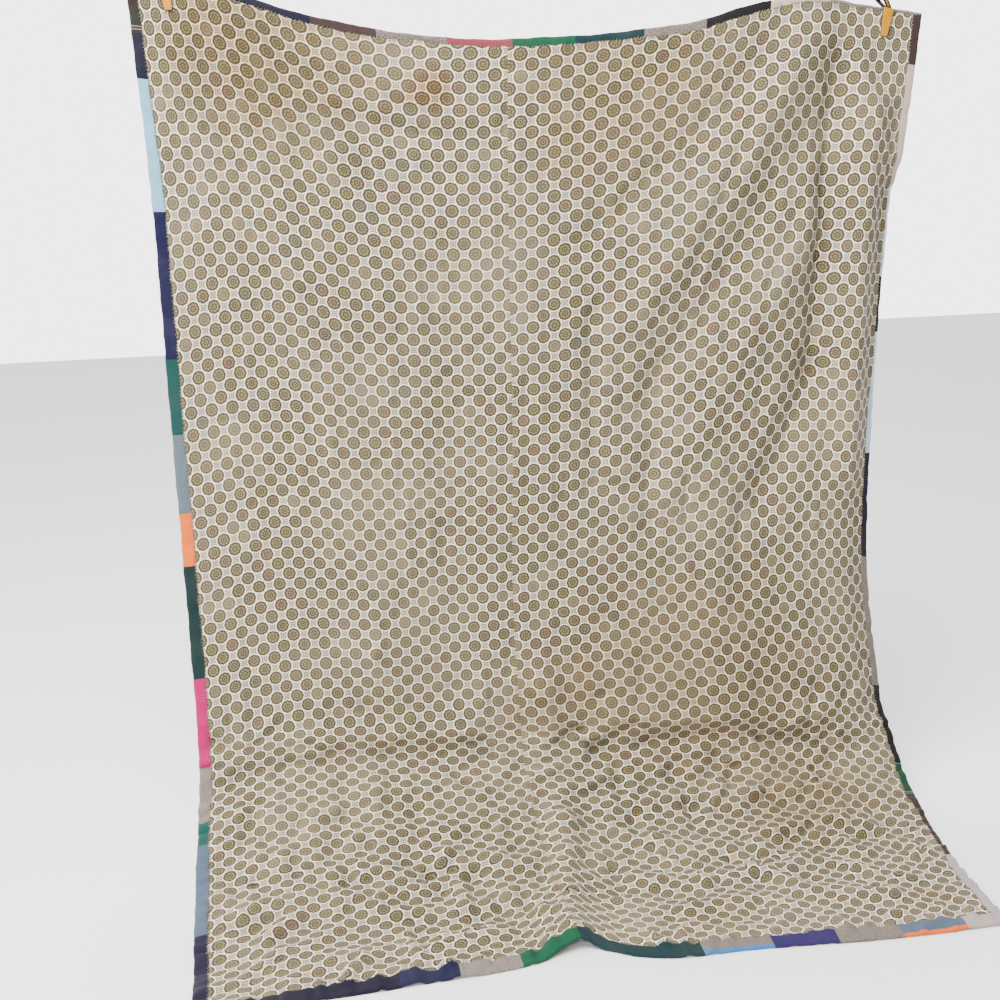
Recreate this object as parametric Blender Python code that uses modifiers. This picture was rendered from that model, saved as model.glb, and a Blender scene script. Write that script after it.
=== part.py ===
# Patchwork quilt hanging by its top edge from two spring clips, its foot dragged forward on the floor.
# The printed back faces the front (-Y). Across is measured on the cloth from the left edge,
# down from the top edge. The origin is on the top edge, midway between the clips.
import math

import bmesh
import bpy
import numpy as np
from mathutils import Matrix, Vector

WIDTH = 1.62                 # flat size of the quilt
LENGTH = 2.38
TOP_THICK = 0.0045           # pieced face with its filling
BACKING_THICK = 0.0010
BINDING_THICK = 0.0016
GAP = 0.00035                # between two pieces that touch
JOINT = 0.0014               # between two pieces laid edge to edge, where folds squeeze them
SEAM = 0.721                 # where the two backing panels are joined
SIDE_BINDING = 0.025         # how far the face is folded over to the back
HEAD_BINDING = 0.017
FOOT_BINDING = 0.043
BEND = 1.50                  # cloth down to where it starts to turn onto the floor
FLOOR = -1.665
STEP = 0.0001                # run of the binding's inner corner
LIP = 0.0030                 # binding outside the cut edge
PRESSED = 0.015              # how far the bend's curve would dip into the floor that flattens it

# Places across the cloth, and where each of them hangs at a distance down it
STATIONS = (0.0, 0.12, SEAM, 1.45, WIDTH)
HANG_COLUMNS = ("down", "left edge", "left inner", "seam", "right inner", "right edge")
HANG = (
    (0.00, -0.780, -0.697, -0.070, 0.663, 0.789),
    (0.40, -0.766, -0.664, -0.082, 0.625, 0.741),
    (0.80, -0.769, -0.662, -0.085, 0.600, 0.724),
    (1.20, -0.771, -0.659, -0.095, 0.590, 0.727),
    (1.50, -0.773, -0.662, -0.089, 0.630, 0.764),
    (1.80, -0.782, -0.670, -0.080, 0.632, 0.790),
    (2.10, -0.787, -0.664, -0.070, 0.620, 0.775),
    (2.38, -0.782, -0.662, -0.060, 0.613, 0.771),
)
LEAN_COLUMNS = ("down", "forward")
LEAN = ((0.0, 0.0), (0.4, 0.043), (0.8, 0.062), (1.2, 0.085), (1.5, 0.115))
SAG_COLUMNS = ("across", "height of the top edge", "share taken up by small folds")
SAG = (
    (0.000, 0.124, -0.005),
    (0.200, 0.103, 0.020),
    (0.400, 0.044, 0.047),
    (0.640, 0.004, 0.060),
    (0.780, 0.004, 0.056),
    (0.960, 0.015, 0.041),
    (1.080, 0.031, 0.027),
    (1.200, 0.062, 0.005),
    (1.280, 0.074, -0.004),
    (1.450, 0.058, 0.011),
    (1.620, 0.040, 0.009),
)
FOOT_COLUMNS = ("across", "reach of the front edge", "share of the fall before it turns", "length lying flat")
FOOT = (
    (0.00, 0.655, 0.50, 0.22),
    (0.15, 0.628, 0.50, 0.20),
    (0.35, 0.616, 0.55, 0.20),
    (0.62, 0.598, 0.65, 0.20),
    (0.74, 0.572, 0.70, 0.20),
    (0.82, 0.610, 0.75, 0.25),
    (1.10, 0.637, 0.85, 0.30),
    (1.40, 0.657, 0.95, 0.38),
    (1.62, 0.658, 0.95, 0.42),
)

# Straight soft strokes; a height above 0 stands out to the printed side
FOLD_COLUMNS = ("from across", "from down", "to across", "to down", "half width", "height")
FOLDS = (
    (1.40, 0.12, 1.41, 0.74, 0.036, -0.030),   # main crease below the right clip
    (1.41, 0.74, 1.29, 1.02, 0.040, -0.022),
    (1.50, 0.10, 1.53, 0.95, 0.050, 0.028),    # swell beside it
    (1.62, 0.36, 1.62, 1.50, 0.060, -0.036),   # right edge rolled back
    (1.34, 0.06, 0.98, 0.58, 0.050, 0.014),    # pulls that fan out from the right clip
    (1.36, 0.22, 1.00, 0.78, 0.038, -0.013),
    (1.36, 0.44, 1.06, 0.98, 0.045, 0.014),
    (1.22, 0.10, 0.86, 0.44, 0.040, -0.010),
    (0.89, 0.58, 0.90, 0.96, 0.028, -0.011),   # two drawn-in columns
    (1.03, 0.70, 1.03, 1.06, 0.028, -0.011),
    (0.09, 0.05, 0.22, 0.38, 0.036, -0.014),   # pulls from the left clip
    (0.22, 0.03, 0.40, 0.26, 0.045, 0.012),
    (0.41, 0.20, 0.70, 0.18, 0.026, -0.008),
    (0.30, 0.55, 0.42, 1.30, 0.070, 0.012),    # slow swells of the hanging part
    (0.60, 0.50, 0.58, 1.40, 0.060, -0.010),
    (1.18, 0.95, 1.20, 1.45, 0.060, 0.014),
    (0.02, 1.64, 0.34, 1.61, 0.032, -0.014),   # cloth buckled at the bend
    (0.40, 1.59, 0.66, 1.61, 0.030, -0.012),
    (0.08, 1.54, 0.60, 1.51, 0.035, 0.011),
    (0.88, 1.60, 1.16, 1.57, 0.030, -0.012),
    (1.22, 1.60, 1.50, 1.64, 0.032, -0.014),
    (0.94, 1.50, 1.46, 1.53, 0.035, 0.011),
    (0.78, 1.40, 0.775, 1.84, 0.038, 0.017),   # hump that runs out to the front edge
    (0.775, 1.84, 0.710, 2.38, 0.044, 0.022),
    (0.00, 1.84, 0.03, 2.00, 0.040, 0.012),    # left edge puckered along its slate strip
    (0.06, 1.73, 0.30, 1.76, 0.038, 0.018),    # puckers lying on the floor
    (0.36, 1.70, 0.60, 1.72, 0.034, 0.015),
    (0.14, 1.88, 0.26, 1.94, 0.036, 0.015),
    (0.34, 1.85, 0.50, 1.83, 0.032, 0.012),
    (0.52, 1.93, 0.66, 1.98, 0.034, 0.014),
    (0.06, 2.05, 0.20, 2.02, 0.032, 0.012),
    (0.28, 2.03, 0.42, 2.10, 0.036, 0.014),
    (0.52, 2.12, 0.64, 2.08, 0.030, 0.011),
    (0.14, 2.20, 0.32, 2.23, 0.032, 0.010),
    (0.42, 2.26, 0.58, 2.22, 0.030, 0.009),
    (0.90, 1.78, 1.14, 1.74, 0.036, 0.017),
    (1.22, 1.75, 1.52, 1.78, 0.036, 0.018),
    (0.96, 1.90, 1.12, 1.95, 0.034, 0.014),
    (1.20, 1.89, 1.40, 1.87, 0.034, 0.013),
    (0.90, 2.04, 1.02, 2.08, 0.032, 0.012),
    (1.10, 2.07, 1.30, 2.03, 0.034, 0.013),
    (1.40, 2.00, 1.54, 2.05, 0.034, 0.012),
    (0.94, 2.20, 1.14, 2.17, 0.030, 0.010),
    (1.24, 2.16, 1.42, 2.22, 0.032, 0.011),
)

CLIP_COLUMNS = ("name", "across", "lean in degrees")
CLIPS = (("left", 0.100, 0.0), ("right", 1.518, 4.0))
JAW_LENGTH = 0.054           # yellow jaw below the top edge
JAW_WIDTH = 0.022
JAW_THICK = 0.0055
JAW_TOP = 0.001              # jaw over the top edge
JAW_TAPER = 0.62             # width at the tip, as a share of the width at the top
BOW_WIDTH = 0.011            # black bow that joins the jaws and springs them together
BOW_HEIGHT = 0.034
BOW_BULGE = 0.008            # its sides stand out from the jaws
BOW_SLANT = 1.1              # sideways run to the left for each part of its height
PINCHED_WIDE = 0.08          # cloth held flat around a clip
PINCHED_DEEP = 0.17


def column(table, index):
    return np.array([row[index] for row in table])


def along(knots, values, x):
    """Smooth curve through values at knots; values may carry one array for each knot."""
    values = np.asarray(values, float)
    if values.ndim == 1:
        values = values.reshape((-1,) + (1,) * x.ndim) + 0.0 * x
    slopes = np.gradient(values, knots, axis=0)
    i = np.clip(np.searchsorted(knots, x) - 1, 0, len(knots) - 2)
    step = knots[i + 1] - knots[i]
    t = (x - knots[i]) / step
    start, end, slope_a, slope_b = (
        np.take_along_axis(array, index[None], 0)[0]
        for array, index in ((values, i), (values, i + 1), (slopes, i), (slopes, i + 1))
    )
    ease = t * t * (3 - 2 * t)
    return start + (end - start) * ease + step * t * (1 - t) * (slope_a * (1 - t) - slope_b * t)


def bend_path(foot_y, fall, flat, start_z, share):
    """A point on the curve from the bend to the front edge, by its share of the curve's length."""
    start_y = -LEAN[-1][1]
    rest = FLOOR + TOP_THICK
    drop = fall * (start_z - rest)
    t = np.linspace(0, 1, 33).reshape((-1,) + (1,) * share.ndim)
    weights = ((1 - t) ** 3, 3 * t * (1 - t) ** 2, 3 * t * t * (1 - t), t ** 3)
    ys = (start_y, start_y - 0.1 * drop, foot_y + flat, foot_y)
    zs = (start_z, start_z - drop, rest - PRESSED, rest - PRESSED)
    y = sum(weight * value for weight, value in zip(weights, ys))
    z = sum(weight * value for weight, value in zip(weights, zs))
    arc = np.concatenate([np.zeros((1,) + share.shape),
                          np.cumsum(np.hypot(np.diff(y, axis=0), np.diff(z, axis=0)), axis=0)])
    wanted = share * arc[-1]
    i = np.clip((arc < wanted).sum(axis=0) - 1, 0, len(t) - 2)

    def pick(array, index):
        return np.take_along_axis(array, index[None], 0)[0]

    span = np.maximum(pick(arc, i + 1) - pick(arc, i), 1e-9)
    mix = np.maximum((wanted - pick(arc, i)) / span, 0)
    return (pick(y, i) + mix * (pick(y, i + 1) - pick(y, i)),
            np.maximum(pick(z, i) + mix * (pick(z, i + 1) - pick(z, i)), rest))


def drape(across, down):
    """The sheet without its folds: hanging, leaning forward, turning onto the floor."""
    knots = column(HANG, 0)
    hung = np.minimum(down, BEND)
    x = along(np.array(STATIONS), np.stack([along(knots, column(HANG, i), down) for i in range(1, 6)]),
              across)
    top, taken_up = (along(column(SAG, 0), column(SAG, i), across) for i in (1, 2))
    reach, fall, flat = (along(column(FOOT, 0), column(FOOT, i), across) for i in (1, 2, 3))
    share = np.maximum((down - BEND) / (LENGTH - BEND), 0)
    floor_y, floor_z = bend_path(-reach, fall, flat, top - BEND * (1 - taken_up), share)
    y = np.where(down > BEND, floor_y, -along(column(LEAN, 0), column(LEAN, 1), hung))
    z = np.where(down > BEND, floor_z, top - hung * (1 - taken_up))
    return np.stack([x, y, z], axis=-1)


def relief(across, down):
    """Height of the folds over the plain drape."""
    height = np.zeros_like(across)
    for a0, d0, a1, d1, half_width, peak in FOLDS:
        run_a, run_d = a1 - a0, d1 - d0
        length = math.hypot(run_a, run_d)
        lengthwise = ((across - a0) * run_a + (down - d0) * run_d) / length
        sideways = ((across - a0) * run_d - (down - d0) * run_a) / length
        past_end = np.maximum(np.maximum(-lengthwise, lengthwise - length), 0)
        height += peak * np.exp(-(sideways ** 2 + past_end ** 2) / half_width ** 2)
    for _, clip_across, _ in CLIPS:
        distance = np.hypot((across - clip_across) / PINCHED_WIDE, down / PINCHED_DEEP)
        height *= 1 - np.exp(-distance ** 8)
    return height


def normal_of(surface, across, down):
    step = 0.002
    by_across = surface(across + step, down) - surface(across - step, down)
    by_down = surface(across, down + step) - surface(across, down - step)
    normal = np.cross(by_across, -by_down)
    return normal / np.linalg.norm(normal, axis=-1, keepdims=True)


def sheet(across, down):
    """The middle surface with its folds; it lies flat where it would go below the floor."""
    across = np.clip(across, -0.01, WIDTH + 0.01)
    point = drape(across, down)
    point = point + normal_of(drape, across, down) * relief(across, down)[..., None]
    point[..., 2] = np.maximum(point[..., 2], FLOOR + TOP_THICK)
    return point


def lines(*stretches):
    """Grid lines from (start, end, number of steps) stretches."""
    found = [stretches[0][0]]
    for start, end, steps in stretches:
        found += [start + (end - start) * (i + 1) / steps for i in range(steps)]
    return found


def material(name, colour, roughness, metallic=0.0):
    made = bpy.data.materials.new(name)
    made.use_nodes = True
    shader = made.node_tree.nodes["Principled BSDF"]
    shader.inputs["Base Color"].default_value = (*colour, 1.0)
    shader.inputs["Roughness"].default_value = roughness
    shader.inputs["Metallic"].default_value = metallic
    return made


def add(name, mesh, finish):
    piece = bpy.data.objects.new(name, mesh)
    mesh.materials.append(finish)
    group.objects.link(piece)
    return piece


def slab(name, across_lines, down_lines, inner, outer, finish):
    """A cloth piece between two offsets from the middle surface, each a number or a function of place."""
    columns, rows = len(across_lines) - 1, len(down_lines) - 1
    bm = bmesh.new()
    bmesh.ops.create_grid(bm, x_segments=columns, y_segments=rows, size=0.5)
    bmesh.ops.triangulate(bm, faces=bm.faces[:], quad_method="FIXED")
    grown = bmesh.ops.extrude_face_region(bm, geom=bm.faces[:])["geom"]
    bmesh.ops.translate(bm, vec=(0, 0, -1), verts=[v for v in grown if isinstance(v, bmesh.types.BMVert)])
    bmesh.ops.recalc_face_normals(bm, faces=bm.faces[:])
    flat = np.array([v.co for v in bm.verts])
    across = np.array(across_lines)[np.rint((flat[:, 0] + 0.5) * columns).astype(int)]
    down = np.array(down_lines)[np.rint((0.5 - flat[:, 1]) * rows).astype(int)]
    offset = np.where(flat[:, 2] < -0.5, inner(across, down), outer)
    points = sheet(across, down) + normal_of(sheet, across, down) * offset[:, None]
    for vertex, point in zip(bm.verts, points):
        vertex.co = point
    mesh = bpy.data.meshes.new(name)
    bm.to_mesh(mesh)
    bm.free()
    mesh.shade_smooth()
    return add(name, mesh, finish)


def cut_block(name, outline, width, frame, finish, slant=0.0, taper=1.0):
    """A side outline in (toward the back, up), cut through a width, with its edges softened.
    A slant carries it sideways as it rises, and a taper is the foot's share of the top's width."""
    foot, top = min(z for _, z in outline), max(z for _, z in outline)
    bm = bmesh.new()
    face = bm.faces.new([bm.verts.new((-width / 2, y, z)) for y, z in outline])
    grown = bmesh.ops.extrude_face_region(bm, geom=[face])["geom"]
    bmesh.ops.translate(bm, vec=(width, 0, 0), verts=[v for v in grown if isinstance(v, bmesh.types.BMVert)])
    for vertex in bm.verts:
        rise = vertex.co.z - foot
        vertex.co.x = vertex.co.x * (taper + (1 - taper) * rise / (top - foot)) - slant * rise
    bmesh.ops.recalc_face_normals(bm, faces=bm.faces[:])
    mesh = bpy.data.meshes.new(name)
    bm.to_mesh(mesh)
    bm.free()
    piece = add(name, mesh, finish)
    piece.matrix_world = frame
    soften = piece.modifiers.new("softened edges", "BEVEL")
    soften.width = 0.0009
    soften.segments = 2
    soften.limit_method = "ANGLE"
    return piece


def seat(across, lean):
    """Frame on the top edge: X along the edge, -Y out of the printed side, Z up the cloth."""
    at = np.array([across])
    low = sheet(at, np.array([0.05]))[0]
    high = sheet(at, np.array([0.0]))[0]
    out = Vector(normal_of(sheet, at, np.array([0.025]))[0])
    up = Vector(high - low).normalized()
    side = up.cross(out).normalized()
    out = side.cross(up)
    turn = Matrix((side, -out, up)).transposed().to_4x4()
    return Matrix.Translation(Vector(high)) @ turn @ Matrix.Rotation(math.radians(lean), 4, "Y")


def jaw_outline(seat_at, away):
    """Side view of one jaw: a bar that lies on the cloth and thins toward its tip."""
    return [(seat_at, -JAW_LENGTH),
            (seat_at, JAW_TOP),
            (seat_at + away * JAW_THICK, JAW_TOP),
            (seat_at + away * JAW_THICK, -0.008),
            (seat_at + away * 0.0030, -JAW_LENGTH)]


def bow_outline(front, back):
    """Side view of the bow: it stands on both jaws and arches over the cloth's edge."""
    foot = JAW_TOP + GAP
    half = ((JAW_THICK, 0.0),
            (JAW_THICK + BOW_BULGE, 0.36 * BOW_HEIGHT),
            (JAW_THICK + BOW_BULGE, 0.70 * BOW_HEIGHT),
            (0.0025, BOW_HEIGHT))
    inner = ((0.0, 0.0),
             (BOW_BULGE, 0.36 * BOW_HEIGHT),
             (BOW_BULGE, 0.66 * BOW_HEIGHT),
             (0.0, 0.84 * BOW_HEIGHT))
    return [*((front - out, foot + up) for out, up in half),
            *((back + out, foot + up) for out, up in reversed(half)),
            *((back + out, foot + up) for out, up in inner),
            *((front - out, foot + up) for out, up in reversed(inner))]


def clip(name, across, lean):
    """One spring clip: two jaws with the bow over them."""
    frame = seat(across, lean)
    front = -(GAP + BINDING_THICK + GAP)
    back = TOP_THICK + 2 * GAP
    cut_block(f"clip_{name}_jaw_front", jaw_outline(front, -1), JAW_WIDTH, frame, jaw_yellow,
              taper=JAW_TAPER)
    cut_block(f"clip_{name}_jaw_back", jaw_outline(back, 1), JAW_WIDTH, frame, jaw_yellow,
              taper=JAW_TAPER)
    cut_block(f"clip_{name}_spring", bow_outline(front, back), BOW_WIDTH, frame, spring_black, BOW_SLANT)


for old in list(bpy.data.objects):
    bpy.data.objects.remove(old, do_unlink=True)
group = bpy.data.collections.new("patchwork_quilt")
bpy.context.scene.collection.children.link(group)

face_cloth = material("patchwork face", (0.055, 0.060, 0.120), 0.9)
print_cloth = material("printed backing", (0.470, 0.420, 0.330), 0.9)
binding_cloth = material("binding", (0.030, 0.045, 0.110), 0.9)
jaw_yellow = material("yellow jaw", (0.850, 0.480, 0.040), 0.45)
spring_black = material("black spring", (0.015, 0.015, 0.015), 0.5)

side_left = (0.0, SIDE_BINDING, 1)
side_right = (WIDTH - SIDE_BINDING, WIDTH, 1)
panel_left = (SIDE_BINDING, SEAM, 13)
panel_right = ((SEAM, 1.34, 12), (1.34, WIDTH - SIDE_BINDING, 8))
head = (0.0, HEAD_BINDING, 1)
body = ((HEAD_BINDING, 1.45, 24), (1.45, LENGTH - FOOT_BINDING, 22))
foot = (LENGTH - FOOT_BINDING, LENGTH, 1)
all_across = lines(side_left, panel_left, *panel_right, side_right)
all_down = lines(head, *body, foot)


def inset(found):
    """The same lines with the outer two drawn in, so that the next piece has its gap."""
    return [found[0] + JOINT / 2, *found[1:-1], found[-1] - JOINT / 2]


def under_face(across, down):
    return np.full_like(across, -TOP_THICK)


def over_face(across, down):
    return np.full_like(across, GAP)


def around_edge(across, down):
    """The binding covers the cut edge too: outside it, its inner side drops to the face."""
    outside = np.maximum.reduce([-across, across - WIDTH, -down, down - LENGTH]) > JOINT + STEP / 2
    return np.where(outside, GAP - TOP_THICK, GAP)


slab("quilt_top", all_across, all_down, under_face, 0.0, face_cloth)
slab("backing_left", inset(lines(panel_left)), inset(lines(*body)), over_face, GAP + BACKING_THICK, print_cloth)
slab("backing_right", inset(lines(*panel_right)), inset(lines(*body)), over_face, GAP + BACKING_THICK,
     print_cloth)
lip = (LIP, JOINT + STEP, JOINT, 0.0)
near_lip = [-out for out in lip]
between = inset(lines(panel_left, *panel_right))
slab("edge_left", [*near_lip, SIDE_BINDING - JOINT / 2], all_down, around_edge, GAP + BINDING_THICK,
     binding_cloth)
slab("edge_right", [WIDTH - SIDE_BINDING + JOINT / 2, *(WIDTH + out for out in reversed(lip))], all_down,
     around_edge, GAP + BINDING_THICK, binding_cloth)
slab("edge_top", between, [*near_lip, HEAD_BINDING - JOINT / 2], around_edge, GAP + BINDING_THICK,
     binding_cloth)
slab("edge_bottom", between, [LENGTH - FOOT_BINDING + JOINT / 2, *(LENGTH + out for out in reversed(lip))],
     around_edge, GAP + BINDING_THICK, binding_cloth)
for clip_name, clip_across, clip_lean in CLIPS:
    clip(clip_name, clip_across, clip_lean)
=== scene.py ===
# Patchwork quilt hung by its top edge from two spring clips, with its printed back to the front.
import math

import bmesh
import bpy
import numpy as np
from mathutils import Matrix, Vector


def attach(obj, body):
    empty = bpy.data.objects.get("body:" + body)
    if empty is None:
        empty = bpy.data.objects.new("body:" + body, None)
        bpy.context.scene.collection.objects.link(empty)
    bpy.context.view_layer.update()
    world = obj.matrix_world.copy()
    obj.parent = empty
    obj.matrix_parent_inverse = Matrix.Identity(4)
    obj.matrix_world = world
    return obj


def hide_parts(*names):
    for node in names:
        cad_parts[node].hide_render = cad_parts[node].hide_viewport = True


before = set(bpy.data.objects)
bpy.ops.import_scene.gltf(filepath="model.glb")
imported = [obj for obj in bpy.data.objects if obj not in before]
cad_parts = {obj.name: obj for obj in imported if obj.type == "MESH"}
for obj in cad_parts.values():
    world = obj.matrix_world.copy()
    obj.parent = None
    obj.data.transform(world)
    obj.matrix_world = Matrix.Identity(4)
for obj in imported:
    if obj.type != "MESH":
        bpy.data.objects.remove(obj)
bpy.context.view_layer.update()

# Camera where the photograph was taken: left of the quilt's middle, 1.56 m above the floor,
# 2.6 m in front of the hanging cloth, turned a little to the right and tilted down.
FLOOR = -1.665
camera_lens = bpy.data.cameras.new("camera")
camera_lens.lens = 46.8
camera = bpy.data.objects.new("camera", camera_lens)
camera.matrix_world = (
    Matrix.Translation((-0.5416, -2.6394, -0.1050))
    @ Matrix.Rotation(math.radians(-9.405), 4, "Z")
    @ Matrix.Rotation(math.radians(90 - 17.189), 4, "X")
    @ Matrix.Rotation(math.radians(-1.252), 4, "Z")
)
bpy.context.scene.collection.objects.link(camera)
bpy.context.scene.camera = camera

# Studio: a broad soft light on the left, which rakes across the folds, a larger one overhead for the
# cloth that lies on the floor, and a pale surround that is brightest behind the quilt.
# name, size, power, colour, place, point that it is aimed at
LAMPS = (
    ("window light", 1.7, 205.0, (1.0, 0.965, 0.91), (-3.0, -3.3, -0.3), (0.0, -0.1, -0.8)),
    ("ceiling light", 2.2, 400.0, (1.0, 1.0, 1.0), (-1.2, -1.4, 2.3), (0.0, -0.5, -1.6)),
)
for name, size, power, colour, place, target in LAMPS:
    lamp = bpy.data.lights.new(name, "AREA")
    lamp.size = size
    lamp.energy = power
    lamp.color = colour
    light = bpy.data.objects.new(name, lamp)
    light.location = place
    toward = Vector(target) - light.location
    light.rotation_euler = toward.to_track_quat("-Z", "Y").to_euler()
    bpy.context.scene.collection.objects.link(light)
surround = bpy.data.worlds.new("surround")
surround.use_nodes = True
sky = surround.node_tree
direction = sky.nodes.new("ShaderNodeTexCoord")
split = sky.nodes.new("ShaderNodeSeparateXYZ")
ramp = sky.nodes.new("ShaderNodeMapRange")
sky.links.new(direction.outputs["Generated"], split.inputs[0])
sky.links.new(split.outputs["Y"], ramp.inputs["Value"])
for socket, value in (("From Min", -0.1), ("From Max", 0.6), ("To Min", 0.35), ("To Max", 4.2)):
    ramp.inputs[socket].default_value = value
sky.links.new(ramp.outputs[0], sky.nodes["Background"].inputs["Strength"])
sky.nodes["Background"].inputs["Color"].default_value = (1.0, 1.0, 1.0, 1.0)
bpy.context.scene.world = surround

# Printed back: two widths of thin cotton, sewn together down a seam left of the middle and turned
# under the binding all round. It was printed before it was cut, so the medallions don't meet at the
# seam, and the hand quilting and washing have left it puckered all over.
WIDTH, LENGTH = 1.62, 2.38
SEAM = 0.721
BEND = 1.50
FILLING = 0.0045             # patchwork face with its filling, behind the middle surface
BACK_RISE = 0.00135          # printed side over the middle surface
SIDE_BINDING, HEAD_BINDING, FOOT_BINDING = 0.025, 0.017, 0.043
TUCKED = 0.009               # back that runs on under the side strips
HIDDEN = 0.0018              # from the cut edge, where it starts under the narrow strips
PRESSED = 0.015              # how far below the floor the path to the front edge is aimed

# Places across the cloth, and where each of them hangs at a distance down it:
# down, left edge, left inner, seam, right inner, right edge
STATIONS = (0.0, 0.12, SEAM, 1.45, WIDTH)
HANG = (
    (0.00, -0.780, -0.697, -0.070, 0.663, 0.789),
    (0.40, -0.766, -0.664, -0.082, 0.625, 0.741),
    (0.80, -0.769, -0.662, -0.085, 0.600, 0.724),
    (1.20, -0.771, -0.659, -0.095, 0.590, 0.727),
    (1.50, -0.773, -0.662, -0.089, 0.630, 0.764),
    (1.80, -0.782, -0.670, -0.080, 0.632, 0.790),
    (2.10, -0.787, -0.664, -0.070, 0.620, 0.775),
    (2.38, -0.782, -0.662, -0.060, 0.613, 0.771),
)
# down, forward
LEAN = ((0.0, 0.0), (0.4, 0.043), (0.8, 0.062), (1.2, 0.085), (1.5, 0.115))
# across, height of the top edge, share taken up by small folds
SAG = (
    (0.000, 0.124, -0.005),
    (0.200, 0.103, 0.020),
    (0.400, 0.044, 0.047),
    (0.640, 0.004, 0.060),
    (0.780, 0.004, 0.056),
    (0.960, 0.015, 0.041),
    (1.080, 0.031, 0.027),
    (1.200, 0.062, 0.005),
    (1.280, 0.074, -0.004),
    (1.450, 0.058, 0.011),
    (1.620, 0.040, 0.009),
)
# across, reach of the front edge, share of the fall before it turns, length lying flat
FOOT = (
    (0.00, 0.655, 0.50, 0.22),
    (0.15, 0.628, 0.50, 0.20),
    (0.35, 0.616, 0.55, 0.20),
    (0.62, 0.598, 0.65, 0.20),
    (0.74, 0.572, 0.70, 0.20),
    (0.82, 0.610, 0.75, 0.25),
    (1.10, 0.637, 0.85, 0.30),
    (1.40, 0.657, 0.95, 0.38),
    (1.62, 0.658, 0.95, 0.42),
)
# Straight soft strokes: from across, from down, to across, to down, half width, height.
# A height above 0 stands out to the printed side.
FOLDS = (
    (1.40, 0.12, 1.41, 0.74, 0.036, -0.030),   # main crease below the right clip
    (1.41, 0.74, 1.29, 1.02, 0.040, -0.022),
    (1.50, 0.10, 1.53, 0.95, 0.050, 0.028),    # swell beside it
    (1.62, 0.36, 1.62, 1.50, 0.060, -0.036),   # right edge rolled back
    (1.34, 0.06, 0.98, 0.58, 0.050, 0.014),    # pulls that fan out from the right clip
    (1.36, 0.22, 1.00, 0.78, 0.038, -0.013),
    (1.36, 0.44, 1.06, 0.98, 0.045, 0.014),
    (1.22, 0.10, 0.86, 0.44, 0.040, -0.010),
    (0.89, 0.58, 0.90, 0.96, 0.028, -0.011),   # two drawn-in columns
    (1.03, 0.70, 1.03, 1.06, 0.028, -0.011),
    (0.09, 0.05, 0.22, 0.38, 0.036, -0.014),   # pulls from the left clip
    (0.22, 0.03, 0.40, 0.26, 0.045, 0.012),
    (0.41, 0.20, 0.70, 0.18, 0.026, -0.008),
    (0.30, 0.55, 0.42, 1.30, 0.070, 0.012),    # slow swells of the hanging part
    (0.60, 0.50, 0.58, 1.40, 0.060, -0.010),
    (1.18, 0.95, 1.20, 1.45, 0.060, 0.014),
    (0.02, 1.64, 0.34, 1.61, 0.032, -0.014),   # cloth buckled at the bend
    (0.40, 1.59, 0.66, 1.61, 0.030, -0.012),
    (0.08, 1.54, 0.60, 1.51, 0.035, 0.011),
    (0.88, 1.60, 1.16, 1.57, 0.030, -0.012),
    (1.22, 1.60, 1.50, 1.64, 0.032, -0.014),
    (0.94, 1.50, 1.46, 1.53, 0.035, 0.011),
    (0.78, 1.40, 0.775, 1.84, 0.038, 0.017),   # hump that runs out to the front edge
    (0.775, 1.84, 0.706, 2.38, 0.037, 0.026),
    (0.00, 1.84, 0.03, 2.00, 0.040, 0.012),    # left edge puckered along its slate strip
    (0.06, 1.73, 0.30, 1.76, 0.038, 0.018),    # puckers lying on the floor
    (0.36, 1.70, 0.60, 1.72, 0.034, 0.015),
    (0.14, 1.88, 0.26, 1.94, 0.036, 0.015),
    (0.34, 1.85, 0.50, 1.83, 0.032, 0.012),
    (0.52, 1.93, 0.66, 1.98, 0.034, 0.014),
    (0.06, 2.05, 0.20, 2.02, 0.032, 0.012),
    (0.28, 2.03, 0.42, 2.10, 0.036, 0.014),
    (0.52, 2.12, 0.64, 2.08, 0.030, 0.011),
    (0.14, 2.20, 0.32, 2.23, 0.032, 0.010),
    (0.42, 2.26, 0.58, 2.22, 0.030, 0.009),
    (0.90, 1.78, 1.14, 1.74, 0.036, 0.017),
    (1.22, 1.75, 1.52, 1.78, 0.036, 0.018),
    (0.96, 1.90, 1.12, 1.95, 0.034, 0.014),
    (1.20, 1.89, 1.40, 1.87, 0.034, 0.013),
    (0.90, 2.04, 1.02, 2.08, 0.032, 0.012),
    (1.10, 2.07, 1.30, 2.03, 0.034, 0.013),
    (1.40, 2.00, 1.54, 2.05, 0.034, 0.012),
    (0.94, 2.20, 1.14, 2.17, 0.030, 0.010),
    (1.24, 2.16, 1.42, 2.22, 0.032, 0.011),
)
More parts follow.
